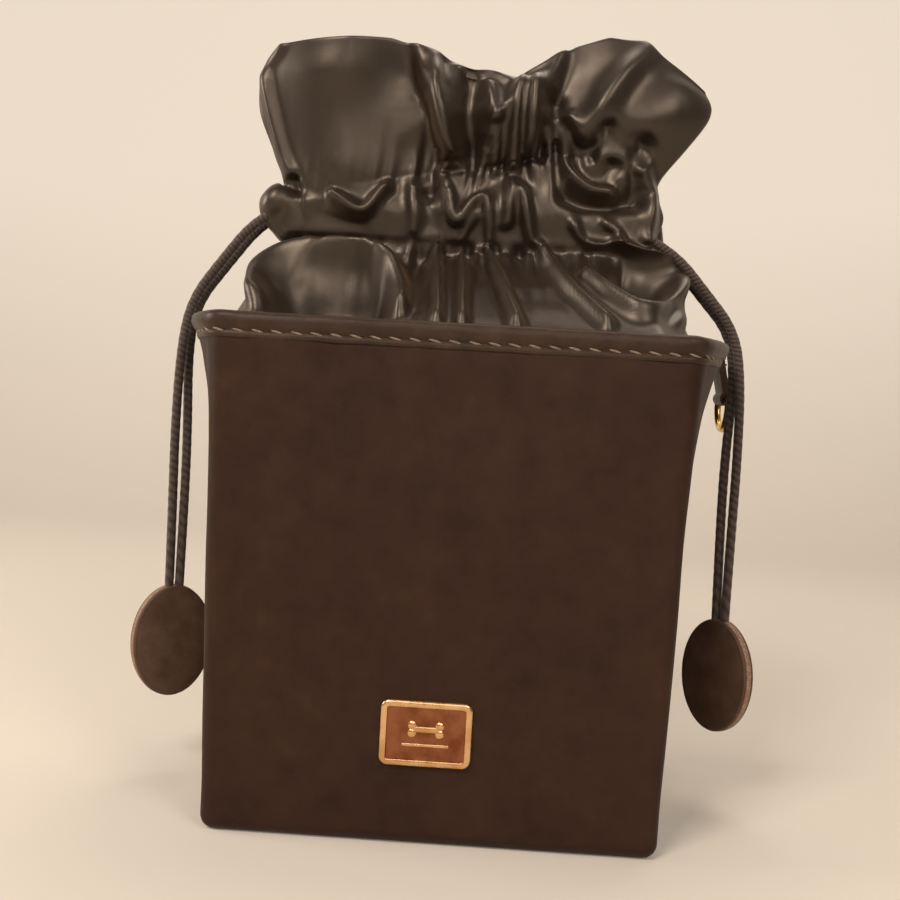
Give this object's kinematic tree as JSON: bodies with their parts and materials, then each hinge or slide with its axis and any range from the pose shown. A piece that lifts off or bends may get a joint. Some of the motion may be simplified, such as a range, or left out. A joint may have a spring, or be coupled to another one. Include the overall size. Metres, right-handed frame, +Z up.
{
  "type": "drawstring treat pouch",
  "caption": "Leather box pouch for training treats, with a gathered cloth collar drawn shut by two strings with leather pull tabs, a blank brass plate and a side ring.",
  "frame": {"origin": "middle of the base, on the surface that the pouch stands on", "axes": "+Z up through the mouth, -Y out of the front wall with the plate, +X towards the side with the ring"},
  "size_m": [0.1618, 0.0848, 0.196],
  "materials": {
    "leather": "satin",
    "satin": "satin",
    "string": "matte",
    "thread": "satin",
    "plate_brass": "brushed",
    "ring_brass": "polished",
    "steel": "matte",
    "board": "matte",
    "lining": "matte",
    "foam": "matte"
  },
  "bodies": {
    "pouch": {"base_panel": "leather", "front_panel": "leather", "back_panel": "leather", "left_side_panel": "leather", "right_side_panel": "leather", "base_board": "board", "front_board": "board", "back_board": "board", "wall_lining": "lining", "base_lining": "lining", "rim_binding": "leather", "rim_thread": "thread", "name_plate": "plate_brass", "plate_backing": "steel", "ring_strap": "leather", "ring_strap_thread": "thread", "left_gusset": "satin", "right_gusset": "satin", "left_string_turn": "string", "right_string_turn": "string", "left_string_front_leg": "string", "left_string_back_leg": "string", "right_string_front_leg": "string", "right_string_back_leg": "string"},
    "front_collar": {"front_skirt": "satin", "front_casing": "satin", "front_ruffle": "satin", "left_string_front_run": "string", "right_string_front_run": "string"},
    "back_collar": {"back_skirt": "satin", "back_casing": "satin", "back_ruffle": "satin", "left_string_back_run": "string", "right_string_back_run": "string"},
    "ring": {"d_ring": "ring_brass"},
    "right_pull": {"right_string_front_end": "string", "right_string_back_end": "string"},
    "left_pull": {"left_string_front_end": "string", "left_string_back_end": "string"},
    "right_tab": {"right_tab_front": "leather", "right_tab_core": "foam", "right_tab_back": "leather"},
    "left_tab": {"left_tab_front": "leather", "left_tab_core": "foam", "left_tab_back": "leather"}
  },
  "joints": [
    {"name": "front_mouth", "type": "hinge", "parent": "pouch", "child": "front_collar", "pos_m": [0, -0.0352, 0.1165], "axis": [1, 0, 0], "range_deg": [0, 35], "deforming": ["left_gusset", "right_gusset"]},
    {"name": "back_mouth", "type": "hinge", "parent": "pouch", "child": "back_collar", "pos_m": [0, 0.0352, 0.1165], "axis": [-1, 0, 0], "range_deg": [0, 35]},
    {"name": "right_pull_lift", "type": "slide", "parent": "pouch", "child": "right_pull", "axis": [0, 0, 1], "range_m": [0, 0.014], "deforming": ["right_string_front_leg", "right_string_back_leg"]},
    {"name": "left_pull_lift", "type": "slide", "parent": "pouch", "child": "left_pull", "axis": [0, 0, 1], "range_m": [0, 0.014], "deforming": ["left_string_front_leg", "left_string_back_leg"]},
    {"name": "right_tab_swing", "type": "hinge", "parent": "right_pull", "child": "right_tab", "pos_m": [0.0714, 0, 0.0484], "axis": [0, -1, 0], "range_deg": [-8, 60], "deforming": ["right_string_front_end", "right_string_back_end"]},
    {"name": "left_tab_swing", "type": "hinge", "parent": "left_pull", "child": "left_tab", "pos_m": [-0.07115, 0, 0.0484], "axis": [0, 1, 0], "range_deg": [-8, 60], "deforming": ["left_string_front_end", "left_string_back_end"]},
    {"name": "ring_swing", "type": "hinge", "parent": "pouch", "child": "ring", "pos_m": [0.07096, 0.0125, 0.10545], "axis": [0, -1, 0], "range_deg": [-30, 120]}
  ],
  "couplings": [
    {"joint": "back_mouth", "follows": "front_mouth", "ratio": 1},
    {"joint": "right_pull_lift", "follows": "front_mouth", "m_per_rad": 0.0221},
    {"joint": "left_pull_lift", "follows": "front_mouth", "m_per_rad": 0.0221}
  ]
}
